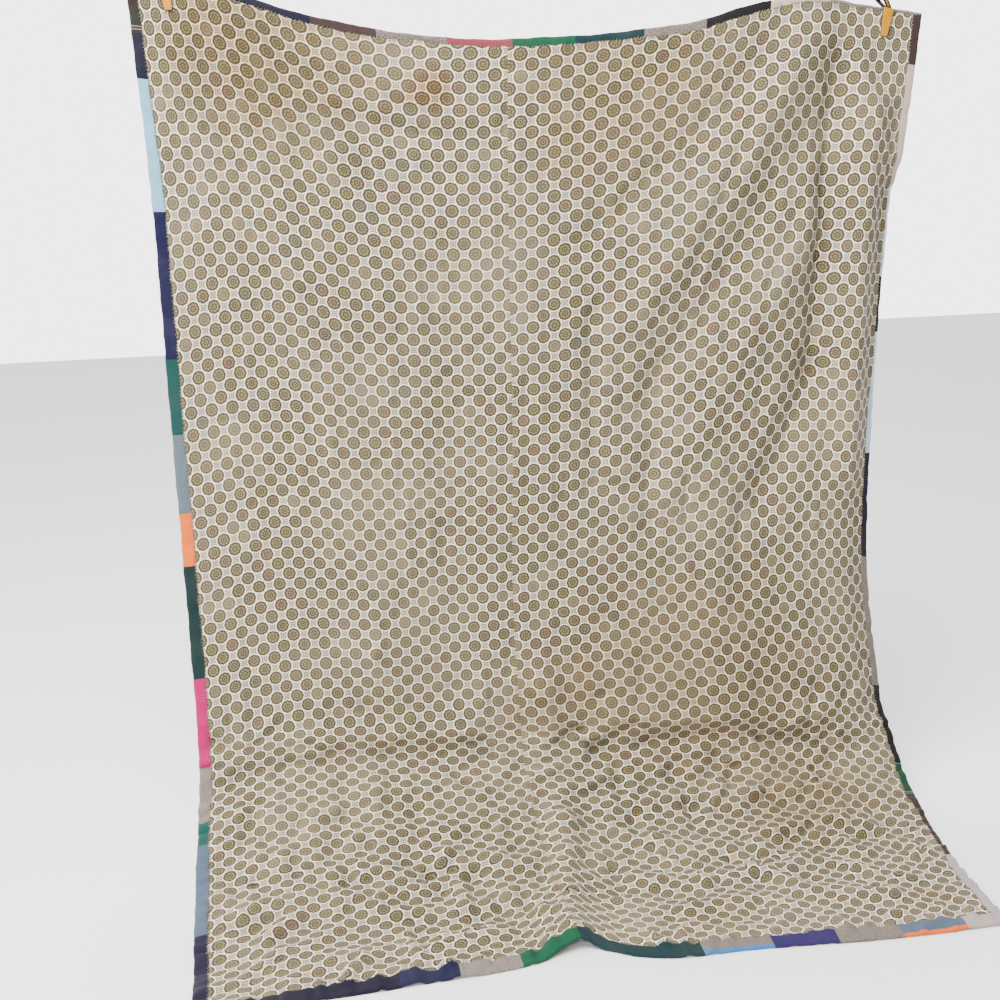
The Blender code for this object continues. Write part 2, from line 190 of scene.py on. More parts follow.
# The finer creases that show in the printed side, given in the same way
CREASES = (
    (1.402, 0.20, 1.392, 0.36, 0.010, -0.006),  # sharp bottom of the main crease
    (1.392, 0.36, 1.402, 0.52, 0.010, -0.007),
    (1.402, 0.52, 1.412, 0.72, 0.010, -0.006),
    (1.21, 0.21, 1.14, 0.38, 0.014, -0.005),    # diagonal pulls between the clip and the middle
    (1.14, 0.38, 1.09, 0.54, 0.014, -0.006),
    (1.33, 0.40, 1.27, 0.56, 0.012, -0.005),
    (1.27, 0.56, 1.26, 0.68, 0.014, -0.005),
    (1.28, 0.16, 1.20, 0.34, 0.020, 0.004),
    (1.17, 0.50, 1.19, 0.82, 0.014, -0.005),    # upright creases of the right panel
    (1.20, 0.86, 1.25, 1.06, 0.016, -0.004),
    (1.25, 1.06, 1.21, 1.34, 0.018, -0.004),
    (1.11, 0.82, 1.12, 1.10, 0.014, -0.004),
    (0.89, 0.59, 0.90, 0.88, 0.009, -0.005),
    (0.96, 0.68, 0.96, 0.84, 0.009, -0.004),
    (1.02, 0.60, 1.05, 0.73, 0.014, -0.004),
    (0.91, 0.30, 0.90, 0.56, 0.020, -0.003),
    (0.99, 0.34, 1.01, 0.54, 0.018, 0.004),
    (0.91, 0.90, 0.97, 0.92, 0.020, 0.006),     # small lump right of the seam
    (0.90, 0.95, 0.98, 0.96, 0.014, -0.004),
    (0.39, 0.17, 0.56, 0.19, 0.012, -0.005),    # long crease under the top edge
    (0.56, 0.19, 0.72, 0.225, 0.012, -0.005),
    (0.52, 0.385, 0.68, 0.45, 0.014, -0.004),
    (0.54, 0.43, 0.70, 0.50, 0.016, 0.003),
    (0.62, 0.73, 0.69, 0.76, 0.009, -0.005),
    (0.32, 0.26, 0.32, 0.56, 0.022, -0.004),    # broad shallow trough of the left panel
    (0.32, 0.56, 0.48, 0.86, 0.026, -0.005),
    (0.16, 1.13, 0.30, 1.30, 0.018, -0.004),
    (0.30, 1.30, 0.41, 1.49, 0.018, -0.006),
    (0.54, 1.02, 0.71, 1.12, 0.014, -0.005),
    (0.60, 1.00, 0.70, 1.06, 0.016, 0.005),
    (0.83, 1.11, 0.95, 1.21, 0.016, -0.004),    # curved pull above the bend
    (0.95, 1.21, 1.01, 1.36, 0.016, -0.004),
    (1.01, 1.36, 0.97, 1.52, 0.016, -0.006),
    (0.97, 1.52, 0.88, 1.60, 0.018, -0.007),
    (0.45, 1.44, 0.57, 1.49, 0.010, -0.004),
    (0.57, 1.49, 0.77, 1.54, 0.010, -0.004),
    (1.26, 1.03, 1.31, 1.24, 0.022, 0.006),
    (1.06, 1.64, 1.14, 1.66, 0.016, -0.008),
    (1.30, 1.66, 1.42, 1.69, 0.018, -0.008),
    (0.32, 1.66, 0.30, 1.99, 0.018, -0.009),    # troughs that run to the front on the floor
    (0.46, 1.69, 0.46, 1.97, 0.017, -0.008),
    (0.57, 1.84, 0.54, 2.17, 0.016, -0.007),
    (0.74, 1.76, 0.70, 2.08, 0.018, -0.011),
    (0.87, 1.88, 0.85, 2.10, 0.016, -0.009),
    (1.18, 2.00, 1.11, 2.29, 0.014, -0.007),
    (1.10, 1.74, 1.05, 1.92, 0.016, -0.007),
    (0.39, 1.66, 0.38, 2.02, 0.022, 0.007),
    (0.63, 1.78, 0.61, 2.10, 0.022, 0.006),
    (0.20, 1.70, 0.21, 1.92, 0.018, -0.006),
    (0.41, 2.06, 0.43, 2.33, 0.013, -0.006),    # creases that reach the front edge
    (0.60, 2.14, 0.63, 2.34, 0.013, -0.007),
    (0.68, 2.16, 0.66, 2.36, 0.014, 0.008),
    (0.83, 2.15, 0.80, 2.36, 0.014, -0.006),
    (1.47, 1.78, 1.53, 1.96, 0.016, -0.006),
    (1.53, 1.96, 1.56, 2.12, 0.016, 0.006),
)
# Puckers left by the quilting, scattered by a fixed draw: number, from down, to down, length,
# half width, height, and how far they keep to the way down the cloth (0 not at all, 1 fully)
PUCKERS = (
    (320, 0.06, 1.50, 0.090, 0.0090, 0.0040, 0.88),
    (420, 0.06, 1.52, 0.038, 0.0080, 0.0040, 0.00),
    (120, 1.46, 2.34, 0.070, 0.0140, 0.0120, 0.30),
    (210, 1.54, 2.10, 0.034, 0.0105, 0.0100, 0.00),
    (120, 1.90, 2.36, 0.036, 0.0105, 0.0080, 0.00),
)
# Edge, from place, to place, number, reach inward, half width, height
GATHERS = (
    ("left", 0.10, 1.50, 60, 0.050, 0.0085, 0.0018),
    ("left", 1.50, 2.36, 55, 0.060, 0.0085, 0.0044),
    ("right", 0.15, 1.50, 70, 0.050, 0.0085, 0.0022),
    ("right", 1.50, 2.36, 45, 0.060, 0.0085, 0.0034),
    ("bottom", 0.02, 1.60, 110, 0.080, 0.0078, 0.0038),
    ("top", 0.05, 1.57, 60, 0.040, 0.0085, 0.0016),
)
CLIPS = (("left", 0.100), ("right", 1.518))
LIFTED = 0.0045              # cloth puckered off the floor
PINCHED_WIDE, PINCHED_DEEP = 0.08, 0.17


def along(table, column, x):
    """Smooth curve through one column of a table at the places in its first column."""
    knots = np.array([row[0] for row in table])
    return curve(knots, np.array([row[column] for row in table]), x)


def curve(knots, values, x):
    if values.ndim == 1:
        values = values.reshape((-1,) + (1,) * x.ndim) + 0.0 * x
    slopes = np.gradient(values, knots, axis=0)
    i = np.clip(np.searchsorted(knots, x) - 1, 0, len(knots) - 2)
    step = knots[i + 1] - knots[i]
    t = (x - knots[i]) / step
    start, end, slope_a, slope_b = (
        np.take_along_axis(array, index[None], 0)[0]
        for array, index in ((values, i), (values, i + 1), (slopes, i), (slopes, i + 1))
    )
    ease = t * t * (3 - 2 * t)
    return start + (end - start) * ease + step * t * (1 - t) * (slope_a * (1 - t) - slope_b * t)


def bend_path(reach, fall, flat, start_z, share):
    """A point on the curve from the bend to the front edge, by its share of the curve's length."""
    start_y = -LEAN[-1][1]
    rest = FLOOR + FILLING
    drop = fall * (start_z - rest)
    t = np.linspace(0, 1, 33)[:, None]
    weights = ((1 - t) ** 3, 3 * t * (1 - t) ** 2, 3 * t * t * (1 - t), t ** 3)
    ys = (start_y, start_y - 0.1 * drop, flat - reach, -reach)
    zs = (start_z, start_z - drop, rest - PRESSED, rest - PRESSED)
    y = sum(weight * value for weight, value in zip(weights, ys))
    z = sum(weight * value for weight, value in zip(weights, zs))
    arc = np.concatenate([np.zeros((1, len(share))),
                          np.cumsum(np.hypot(np.diff(y, axis=0), np.diff(z, axis=0)), axis=0)])
    wanted = share * arc[-1]
    i = np.clip((arc < wanted).sum(axis=0) - 1, 0, len(t) - 2)

    def pick(array, index):
        return np.take_along_axis(array, index[None], 0)[0]

    span = np.maximum(pick(arc, i + 1) - pick(arc, i), 1e-9)
    mix = np.maximum((wanted - pick(arc, i)) / span, 0)
    return (pick(y, i) + mix * (pick(y, i + 1) - pick(y, i)),
            np.maximum(pick(z, i) + mix * (pick(z, i + 1) - pick(z, i)), rest))


def drape(across, down):
    """The cloth without its folds: hanging, leaning forward, turning onto the floor."""
    knots = np.array([row[0] for row in HANG])
    places = np.array([row[1:] for row in HANG])
    lines = np.stack([curve(knots, column, down) for column in places.T])
    x = curve(np.array(STATIONS), lines, across)
    top, taken_up = along(SAG, 1, across), along(SAG, 2, across)
    hung = np.minimum(down, BEND)
    y = -along(LEAN, 1, hung)
    z = top - hung * (1 - taken_up)
    low = down > BEND
    reach, fall, flat = (along(FOOT, column, across[low]) for column in (1, 2, 3))
    share = (down[low] - BEND) / (LENGTH - BEND)
    y[low], z[low] = bend_path(reach, fall, flat, z[low], share)
    return np.stack([x, y, z], axis=-1)


def scattered(table):
    """The puckers of a table as strokes, drawn in the same order each time."""
    chance = np.random.default_rng(11)
    found = []
    for number, first, last, length, half_width, height, upright in table:
        for _ in range(number):
            across, down = chance.uniform(0.03, WIDTH - 0.03), chance.uniform(first, last)
            turn = (1 - upright) * chance.uniform(-0.5, 0.5) * math.pi + 0.12 * chance.normal()
            reach = 0.5 * length * chance.uniform(0.5, 1.5)
            found.append((across - reach * math.sin(turn), down - reach * math.cos(turn),
                          across + reach * math.sin(turn), down + reach * math.cos(turn),
                          half_width * chance.uniform(0.75, 1.35),
                          height * chance.uniform(0.4, 1.0) * chance.choice((-1, 1))))
    return found


def on_edge(edge, inward, place):
    """Across and down of a point by its distance in from an edge and its place along it."""
    return {"left": (inward, place), "right": (WIDTH - inward, place),
            "top": (place, inward), "bottom": (place, LENGTH - inward)}[edge]


def gathered(table):
    """Short puckers that run in from the edges, where the strips were eased on."""
    chance = np.random.default_rng(3)
    found = []
    for edge, first, last, number, reach, half_width, height in table:
        for place in chance.uniform(first, last, number):
            start = on_edge(edge, -0.008, place)
            end = on_edge(edge, reach * chance.uniform(0.5, 1.4), place + 0.012 * chance.normal())
            found.append((*start, *end, half_width * chance.uniform(0.75, 1.3),
                          height * chance.uniform(0.4, 1.0) * chance.choice((-1, 1))))
    return found


def relief(strokes, across, down):
    """Height of soft strokes over the surface below them; the cloth stays flat at the clips."""
    height = np.zeros_like(across)
    for a0, d0, a1, d1, half_width, peak in strokes:
        run_a, run_d = a1 - a0, d1 - d0
        length = math.hypot(run_a, run_d)
        reach = 2.6 * half_width
        near = ((across > min(a0, a1) - reach) & (across < max(a0, a1) + reach)
                & (down > min(d0, d1) - reach) & (down < max(d0, d1) + reach))
        a, d = across[near] - a0, down[near] - d0
        lengthwise = (a * run_a + d * run_d) / length
        sideways = (a * run_d - d * run_a) / length
        past_end = np.maximum(np.maximum(-lengthwise, lengthwise - length), 0)
        height[near] += peak * np.exp(-(sideways ** 2 + past_end ** 2) / half_width ** 2)
    for _, clip_across in CLIPS:
        distance = np.hypot((across - clip_across) / PINCHED_WIDE, down / PINCHED_DEEP)
        height *= 1 - np.exp(-distance ** 8)
    return height


FINE_FOLDS = [*CREASES, *scattered(PUCKERS), *gathered(GATHERS)]


def normal_of(surface, across, down):
    step = 0.002
    by_across = surface(across + step, down) - surface(across - step, down)
    by_down = surface(across, down + step) - surface(across, down - step)
    normal = np.cross(by_across, -by_down)
    return normal / np.linalg.norm(normal, axis=-1, keepdims=True)


def sheet(across, down):
    """The middle surface: its folds lie flat where they would go below the floor, and the finer
    puckers stand on them."""
    across = np.clip(across, -0.01, WIDTH + 0.01)
    point = drape(across, down)
    normal = normal_of(drape, across, down)
    point = point + normal * relief(FOLDS, across, down)[..., None]
    point[..., 2] = np.maximum(point[..., 2], FLOOR + FILLING)
    lift = LIFTED * np.clip((down - BEND) / 0.2, 0, 1) * np.clip((LENGTH - down) / 0.05, 0, 1)
    point = point + normal * (relief(FINE_FOLDS, across, down) + lift)[..., None]
    point[..., 2] = np.maximum(point[..., 2], FLOOR + FILLING)
    return point


def raised(across, down, rise):
    return sheet(across, down) + normal_of(sheet, across, down) * rise[..., None]


def lay_map(mesh, title, values, faces):
    """Give each corner of the faces the two numbers of its point."""
    at_corners = values.reshape(-1, 2)[faces.ravel()].astype(np.float32)
    mesh.uv_layers.new(name=title).uv.foreach_set("vector", at_corners.ravel())


def smooth_piece(name, mesh, finish):
    mesh.shade_smooth()
    mesh.materials.append(finish)
    piece = bpy.data.objects.new(name, mesh)
    bpy.context.scene.collection.objects.link(piece)
    return piece


def cloth(name, points, finish, **maps):
    """A grid of points, across by down, as one smooth sheet with its printed side out.
    Each map has a name, and two numbers for every point."""
    index = np.arange(points.shape[0] * points.shape[1]).reshape(points.shape[:2])
    corners = np.stack([index[:-1, :-1], index[:-1, 1:], index[1:, 1:], index[1:, :-1]], axis=-1)
    mesh = bpy.data.meshes.new(name)
    mesh.from_pydata(points.reshape(-1, 3).tolist(), [], corners.reshape(-1, 4).tolist())
    for title, values in maps.items():
        lay_map(mesh, title, values, corners)
    return smooth_piece(name, mesh, finish)


class Signal:
    """One output of a node; sums and comparisons on it add their Math nodes."""

    def __init__(self, finish, socket):
        self.finish, self.socket = finish, socket

    def math(self, operation, *others):
        inputs = dict(enumerate((self, *others)))
        return self.finish.node("ShaderNodeMath", {"operation": operation}, inputs)

    def __add__(self, other):
        return self.math("ADD", other)

    def __sub__(self, other):
        return self.math("SUBTRACT", other)

    def __mul__(self, other):
        return self.math("MULTIPLY", other)

    def __truediv__(self, other):
        return self.math("DIVIDE", other)

    def __rsub__(self, other):
        return self.finish.node("ShaderNodeMath", {"operation": "SUBTRACT"}, {0: other, 1: self})

    __radd__, __rmul__ = __add__, __mul__

    def step(self, low, high):
        """0 below low, 1 above high, and smooth between them; low may be the higher one."""
        return self.finish.node("ShaderNodeMapRange", {"interpolation_type": "SMOOTHSTEP"},
                                {0: self, 1: low, 2: high, 3: 0.0, 4: 1.0})


class Finish:
    """A material under construction, made of one Principled shader and the nodes that feed it."""

    def __init__(self, name, **constants):
        self.material = bpy.data.materials.new(name)
        self.material.use_nodes = True
        self.tree = self.material.node_tree
        self.shader = self.tree.nodes["Principled BSDF"]
        for socket, value in constants.items():
            self.shader.inputs[socket.replace("_", " ")].default_value = value

    def node(self, kind, settings, inputs, output=0):
        made = self.tree.nodes.new(kind)
        for key, value in settings.items():
            setattr(made, key, value)
        for key, value in inputs.items():
            if isinstance(value, Signal):
                self.tree.links.new(value.socket, made.inputs[key])
            else:
                made.inputs[key].default_value = value
        return Signal(self, made.outputs[output])

    def mix(self, factor, under, over, way="MIX"):
        return self.node("ShaderNodeMix", {"data_type": "RGBA", "blend_type": way},
                         {0: factor, 6: under, 7: over}, 2)

    def map(self, name):
        """The two numbers of a mesh's map."""
        both = self.node("ShaderNodeUVMap", {"uv_map": name}, {})
        return [self.node("ShaderNodeSeparateXYZ", {}, {0: both}, axis) for axis in (0, 1)]

    def vector(self, x, y, z=0.0):
        return self.node("ShaderNodeCombineXYZ", {}, {0: x, 1: y, 2: z})

    def noise(self, place, scale, detail=2.0, roughness=0.5):
        return self.node("ShaderNodeTexNoise", {}, {"Vector": place, "Scale": scale, "Detail": detail,
                                                    "Roughness": roughness})

    def threads(self, across, down, pitch):
        """Warp and weft as two crossing waves, one thread apart."""
        waves = [(way * (2 * math.pi / pitch)).math("SINE") for way in (across, down)]
        return waves[0] + waves[1]

    def wear(self, socket, value):
        self.tree.links.new(value.socket, self.shader.inputs[socket])

    def bump(self, height, distance, strength=1.0):
        self.wear("Normal", self.node("ShaderNodeBump", {}, {"Height": height, "Distance": distance,
                                                             "Strength": strength}))


def srgb(red, green, blue):
    """A colour as seen on screen, 0 to 255, as the shader's own linear colour."""
    linear = [((c / 255 + 0.055) / 1.055) ** 2.4 if c > 10 else c / 3294.6 for c in (red, green, blue)]
    return (*linear, 1.0)


SCALLOPS = 16                # round a medallion's dark ring
# Radii inside a medallion, in steps of the net: where a ring's colour starts, where it is full
RINGS = {
    "cream outline": (0.514, 0.500),
    "gap": (0.468, 0.454),
    "dark ring": (0.430, 0.408),
    "petals": (0.335, 0.310),
    "inner ring": (0.205, 0.180),
    "halo": (0.135, 0.110),
    "core": (0.068, 0.046),
}


def printed_cotton():
    """Medallions in a square net set cornerwise, each in a cream outline, over a fine grid.
    The map "print" counts medallions along the two ways of the net, "quilt" is metres on the quilt."""
    f = Finish("printed cotton", Roughness=0.92, Sheen_Weight=0.10, Sheen_Roughness=0.6)
    f.shader.inputs["Specular IOR Level"].default_value = 0.2
    p, q = f.map("print")
    across, down = f.map("quilt")
    whole_p, whole_q = p.math("ROUND"), q.math("ROUND")
    cell = f.vector(whole_p, whole_q)
    unlike = f.node("ShaderNodeTexWhiteNoise", {"noise_dimensions": "2D"}, {"Vector": cell}, "Color")
    hue, tone, heart = (f.node("ShaderNodeSeparateXYZ", {}, {0: unlike}, axis) for axis in range(3))
    hand = f.noise(f.vector(p, q), 9.0, 3.0, 0.6)
    off_p, off_q = p - whole_p, q - whole_q
    from_middle = (off_p * off_p + off_q * off_q).math("SQRT") + (hand - 0.5) * 0.060
    angle = off_q.math("ARCTAN2", off_p)
    dashes = (angle * SCALLOPS).math("COSINE")
    petals = (angle * (SCALLOPS / 2) + tone * 6.0).math("COSINE")
    lobes = (angle * (SCALLOPS / 2)).math("COSINE")

    net = [((p + way * q) * (2 * math.pi * 5)).math("COSINE").step(0.35, 0.95) for way in (1, -1)]
    star_cell = f.vector(p.math("FLOOR"), q.math("FLOOR"), 5.0)
    star = f.node("ShaderNodeTexWhiteNoise", {"noise_dimensions": "3D"}, {"Vector": star_cell}, "Color")
    star_hue, star_tone, _ = (f.node("ShaderNodeSeparateXYZ", {}, {0: star}, axis) for axis in range(3))
    ground = f.mix(star_hue.step(0.15, 0.55), srgb(170, 153, 122), srgb(166, 146, 134))
    ground = f.mix(star_hue.step(0.65, 0.95), ground, srgb(146, 153, 138))
    ground = f.mix(star_tone * 0.35, ground, srgb(196, 183, 155))
    ground = f.mix(net[0].math("MAXIMUM", net[1]) * 0.80, ground, srgb(84, 73, 64))

    outline = from_middle - lobes * 0.012
    colour = f.mix(outline.step(*RINGS["cream outline"]), ground, srgb(248, 235, 208))
    colour = f.mix(outline.step(*RINGS["gap"]), colour, srgb(120, 108, 84))
    ring = from_middle - dashes * 0.012 - lobes * 0.012
    dark = f.mix(hue.step(0.55, 0.95), srgb(36, 32, 22), srgb(42, 33, 28))
    dark = f.mix(hue.step(0.30, 0.0), dark, srgb(33, 35, 29))
    dark = f.mix((dashes * 0.5 + 0.5) * 0.42, dark, srgb(90, 80, 60))
    pale = f.mix(hue.step(0.60, 0.95), srgb(120, 110, 80), srgb(122, 102, 84))
    pale = f.mix(hue.step(0.30, 0.0), pale, srgb(104, 105, 86))
    pale = f.mix((petals * 0.5 + 0.5) * 0.66, pale, srgb(62, 55, 38))
    colour = f.mix(ring.step(*RINGS["dark ring"]), colour, dark)
    colour = f.mix(ring.step(*RINGS["petals"]), colour, pale)
    colour = f.mix(from_middle.step(*RINGS["inner ring"]), colour, srgb(52, 46, 31))
    halo = f.mix(heart.step(0.94, 0.95), srgb(114, 103, 54), srgb(128, 92, 52))
    halo = f.mix(heart.step(0.20, 0.17), halo, srgb(120, 97, 72))
    colour = f.mix(from_middle.step(*RINGS["halo"]), colour, halo)
    core = f.mix(heart.step(0.66, 0.70), srgb(38, 30, 20), srgb(84, 62, 22))
    core = f.mix(heart.step(0.88, 0.91), core, srgb(70, 38, 26))
    colour = f.mix(from_middle.step(*RINGS["core"]), colour, core)
    worn = tone.step(0.80, 1.0) * from_middle.step(0.46, 0.42) * 0.20
    colour = f.mix(worn, colour, srgb(144, 131, 106))

    place = f.vector(across, down)
    faded = f.noise(place, 3.2, 3.0)
    colour = f.mix(faded.step(0.40, 0.75) * 0.14, colour, srgb(176, 162, 136))
    colour = f.mix(f.noise(place, 9.0, 4.0).step(0.55, 0.80) * 0.16, colour, srgb(104, 88, 62))
    # darkening spots: small stains, and wide faint patches of painted shade where the light falls off
    for spot_across, spot_down, wide, strength, tint in STAINS_AND_PAINTED_SHADE:
        beside, below = across - spot_across, down - spot_down
        away = (beside * beside + below * below).math("SQRT")
        ragged = away + (f.noise(place, 26.0, 3.0) - 0.5) * (0.8 * wide)
        colour = f.mix(ragged.step(wide, 0.25 * wide) * strength, colour, tint, "MULTIPLY")
    f.wear("Base Color", colour)
    f.bump(f.threads(across, down, 0.0011) * 0.25 + f.noise(place, 420.0, 2.0) * 0.9, 0.0005, 0.5)
    return f.material


# Stains and painted shade. The small spots are stains; the wide faint ones, 0.15 m across and more, at
# the top, round the bend and on the right of the floor part, are partly soiling and partly painted
# shade where the light falls off.
# across, down, radius, strength, tint that multiplies the cloth's colour
STAINS_AND_PAINTED_SHADE = (
    (0.575, 0.105, 0.062, 0.75, srgb(214, 168, 128)),
    (0.515, 0.125, 0.030, 0.45, srgb(214, 176, 138)),
    (0.830, 1.450, 0.150, 0.35, srgb(226, 206, 170)),
    (0.830, 0.240, 0.090, 0.30, srgb(230, 210, 176)),
    (1.510, 2.240, 0.070, 0.45, srgb(224, 190, 146)),
    (1.000, 2.250, 0.160, 0.30, srgb(236, 220, 184)),
    (1.120, 1.420, 0.420, 0.55, srgb(222, 210, 188)),
    (1.330, 1.800, 0.240, 0.60, srgb(222, 208, 182)),
    (0.960, 0.080, 0.300, 0.50, srgb(224, 208, 172)),
    (0.300, 0.080, 0.300, 0.60, srgb(218, 206, 178)),
    (0.200, 0.120, 0.240, 0.60, srgb(214, 203, 176)),
    (0.720, 1.450, 0.090, 0.30, srgb(222, 200, 166)),
)
print_finish = printed_cotton()

# Where a panel's edges were cut out of the printed width: half steps of the net at its left edge and
# at the head. The print runs a little off the straight of the grain.
HALF_STEP = 0.0225
OFF_GRAIN = 0.065
# name, replaces, left edge, right edge, half steps at the left edge, half steps at the head
PANELS = (
    ("printed_panel_left", "backing_left", SIDE_BINDING, SEAM, -14.85, -38.06),
    ("printed_panel_right", "backing_right", SEAM, WIDTH - HIDDEN, -9.1, -23.46),
)
CLOTH_CELL = 0.0062
TURN_LINES, TURN_WIDTH = (0.0, 0.0012, 0.0026), 0.0032   # where an edge turns under
EDGE_RISE = 0.0004           # of the turned edge over the middle surface
HELD_DOWN = 0.0008           # how far the strips press the panel into the filling


def evenly(start, end, cell):
    return np.linspace(start, end, max(2, round((end - start) / cell) + 1))


def turned_under(start, end, tuck_start, tuck_end):
    """Grid lines of a panel, with finer ones where its edge turns under, and its rise at each line."""
    turn = np.array(TURN_LINES)
    spread = evenly(start + 0.005, end - 0.005, CLOTH_CELL)
    places = np.concatenate([start - tuck_start + turn, spread, end + tuck_end - turn[::-1]])
    inside = np.minimum(places - (start - tuck_start), end + tuck_end - places)
    return places, np.clip(inside / TURN_WIDTH, 0, 1)


for name, node, left, right, steps_left, steps_head in PANELS:
    tuck = 0.0 if left == SEAM else TUCKED
    across_lines, across_rise = turned_under(left, right, tuck, 0.0)
    down_lines, down_rise = turned_under(HIDDEN, LENGTH - FOOT_BINDING, 0.0, TUCKED)
    across, down = np.meshgrid(across_lines, down_lines, indexing="ij")
    full = np.minimum(across_rise[:, None], down_rise[None, :])
    under_binding = np.maximum.reduce([SIDE_BINDING - across, across - WIDTH + 0.005,
                                       0.005 - down, down - LENGTH + FOOT_BINDING])
    pressed_down = HELD_DOWN * np.clip(under_binding / 0.004 + 1, 0, 1)
    rise = EDGE_RISE + (BACK_RISE - EDGE_RISE) * full - pressed_down * full
    u = (across - left) / HALF_STEP + steps_left
    v = (down - 0.045 + OFF_GRAIN * across) / HALF_STEP + steps_head
    panel = cloth(name, raised(across, down, rise), print_finish,
                  print=np.stack([(u + v) / 2, (u - v) / 2], axis=-1),
                  quilt=np.stack([across, down], axis=-1))
    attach(panel, "root")
    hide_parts(node)
    right - left + tuck

# Patchwork face, on the hidden side: long columns pieced from scraps of dress cotton, suiting and
# tweed, machined together with narrow seams. The same scraps run round the edge to the front.
SCRAPS = {
    "dark plaid": (38, 25, 27),
    "ink navy": (17, 16, 34),
    "light blue": (118, 164, 186),
    "deep navy": (17, 18, 50),
    "teal green": (15, 60, 57),
    "grey blue": (84, 96, 106),
    "orange": (216, 98, 30),
    "bottle green": (14, 39, 39),
    "pink": (168, 12, 92),
    "warm grey": (108, 98, 94),
    "teal": (24, 72, 66),
    "slate blue": (75, 88, 106),
    "purple navy": (31, 26, 46),
    "dark brown": (50, 36, 35),
    "grey brown": (82, 72, 67),
    "dusty rose": (124, 50, 58),
    "green": (12, 72, 49),
    "dark teal": (15, 42, 46),
    "taupe": (94, 84, 78),
    "black": (16, 16, 18),
    "pale beige": (178, 160, 148),
    "pale grey": (170, 178, 184),
    "near white": (222, 226, 230),
    "ice blue": (180, 204, 220),
    "green plaid": (18, 62, 40),
    "sky blue": (46, 108, 166),
    "violet navy": (38, 28, 78),
    "mauve grey": (158, 146, 148),
    "stone grey": (160, 150, 140),
}
PLAIN, TWEED, PLAID = 0, 1, 2
WEAVES = {"warm grey": TWEED, "grey brown": TWEED, "taupe": TWEED, "stone grey": TWEED,
          "dark plaid": PLAID, "green plaid": PLAID}
# Side, and the scraps met along it: where each ends, its name
EDGES = {
    "left": ((0.10, "dark plaid"), (0.18, "ink navy"), (0.42, "light blue"), (0.70, "deep navy"),
             (0.85, "teal green"), (1.01, "grey blue"), (1.12, "orange"), (1.36, "bottle green"),
             (1.57, "pink"), (1.73, "warm grey"), (1.80, "teal"), (2.07, "slate blue"),
             (2.38, "purple navy")),
    "right": ((0.10, "dark brown"), (0.34, "pale beige"), (0.53, "near white"), (0.65, "black"),
              (0.76, "near white"), (0.92, "ice blue"),
              (1.16, "ink navy"), (1.47, "taupe"), (1.69, "black"), (1.80, "green plaid"),
              (2.07, "dark brown"), (2.38, "mauve grey")),
    "top": ((0.38, "ink navy"), (0.49, "dark brown"), (0.61, "grey brown"), (0.73, "dusty rose"),
            (0.85, "green"), (0.98, "dark teal"), (1.10, "taupe"), (1.23, "black"),
            (1.36, "pale beige"), (1.62, "warm grey")),
    "bottom": ((0.37, "ink navy"), (0.48, "deep navy"), (0.60, "warm grey"), (0.72, "green"),
               (0.96, "dark teal"), (1.11, "sky blue"), (1.25, "violet navy"), (1.39, "taupe"),
               (1.53, "orange"), (1.62, "stone grey")),
}
# Seams between the face's columns: across at the head, across at the foot
COLUMNS = ((0.0, 0.0), (0.125, 0.122), (0.25, 0.245), (0.38, 0.37), (0.49, 0.48), (0.61, 0.60),
           (0.73, 0.72), (0.85, 0.84), (0.98, 0.96), (1.10, 1.11), (1.23, 1.25), (1.36, 1.39),
           (1.49, 1.53), (1.62, 1.62))


def pieced_cloth():
    """Woven scraps: each face of the mesh carries its own dye and weave."""
    f = Finish("pieced scraps", Roughness=0.90, Sheen_Weight=0.06, Sheen_Roughness=0.5)
    f.shader.inputs["Specular IOR Level"].default_value = 0.15
    dye = f.node("ShaderNodeAttribute", {"attribute_name": "dye"}, {}, "Color")
    weave = f.node("ShaderNodeAttribute", {"attribute_name": "weave"}, {}, "Fac")
    across, down = f.map("quilt")
    place = f.vector(across, down)
    tweed, plaid = (weave.math("COMPARE", float(kind), 0.5) for kind in (TWEED, PLAID))
    flecks = f.noise(place, 520.0, 1.0).step(0.50, 0.62)
    colour = f.mix(tweed * flecks * 0.55, dye, srgb(170, 162, 150))
    lines = [(way / 0.10).math("FRACT") for way in (across, down)]
    bars = [line.math("COMPARE", 0.90, 0.035) - line.math("COMPARE", 0.90, 0.018) for line in lines]
    colour = f.mix(plaid * lines[1].step(0.45, 0.60) * 0.45, colour, srgb(24, 44, 30))
    for bar in bars:
        colour = f.mix(plaid * bar * 0.7, colour, srgb(160, 130, 128))
    colour = f.mix(f.noise(place, 12.0, 4.0).step(0.35, 0.75) * 0.05, colour, srgb(120, 112, 102))
    colour = f.mix(f.noise(place, 300.0, 2.0).step(0.30, 0.75) * 0.16, colour, srgb(24, 22, 24))
    f.wear("Base Color", colour)
    f.bump(f.threads(across, down, 0.0016) * 0.3 + f.noise(place, 260.0, 2.0), 0.0006, 0.6)
    return f.material


scraps_finish = pieced_cloth()


def dyed(piece, names):
    """Give each face of a mesh the dye and weave of its scrap."""
    mesh = piece.data
    dyes = np.array([srgb(*SCRAPS[name])[:3] for name in names], dtype=np.float32)
    weaves = np.array([WEAVES.get(name, PLAIN) for name in names], dtype=np.float32)
    mesh.attributes.new("dye", "FLOAT_VECTOR", "FACE").data.foreach_set("vector", dyes.ravel())
    mesh.attributes.new("weave", "FLOAT", "FACE").data.foreach_set("value", weaves)


def joined(name, pieces):
    """Several meshes made into one piece."""
    with bpy.context.temp_override(active_object=pieces[0], selected_editable_objects=pieces):
        bpy.ops.object.join()
    pieces[0].name = name
    pieces[0].data.name = name
    return pieces[0]


def scrap_at(edge, place):
    return next((name for end, name in EDGES[edge] if place < end), EDGES[edge][-1][1])


BESIDE_SEAM = 0.0025         # grid lines on both sides of a seam


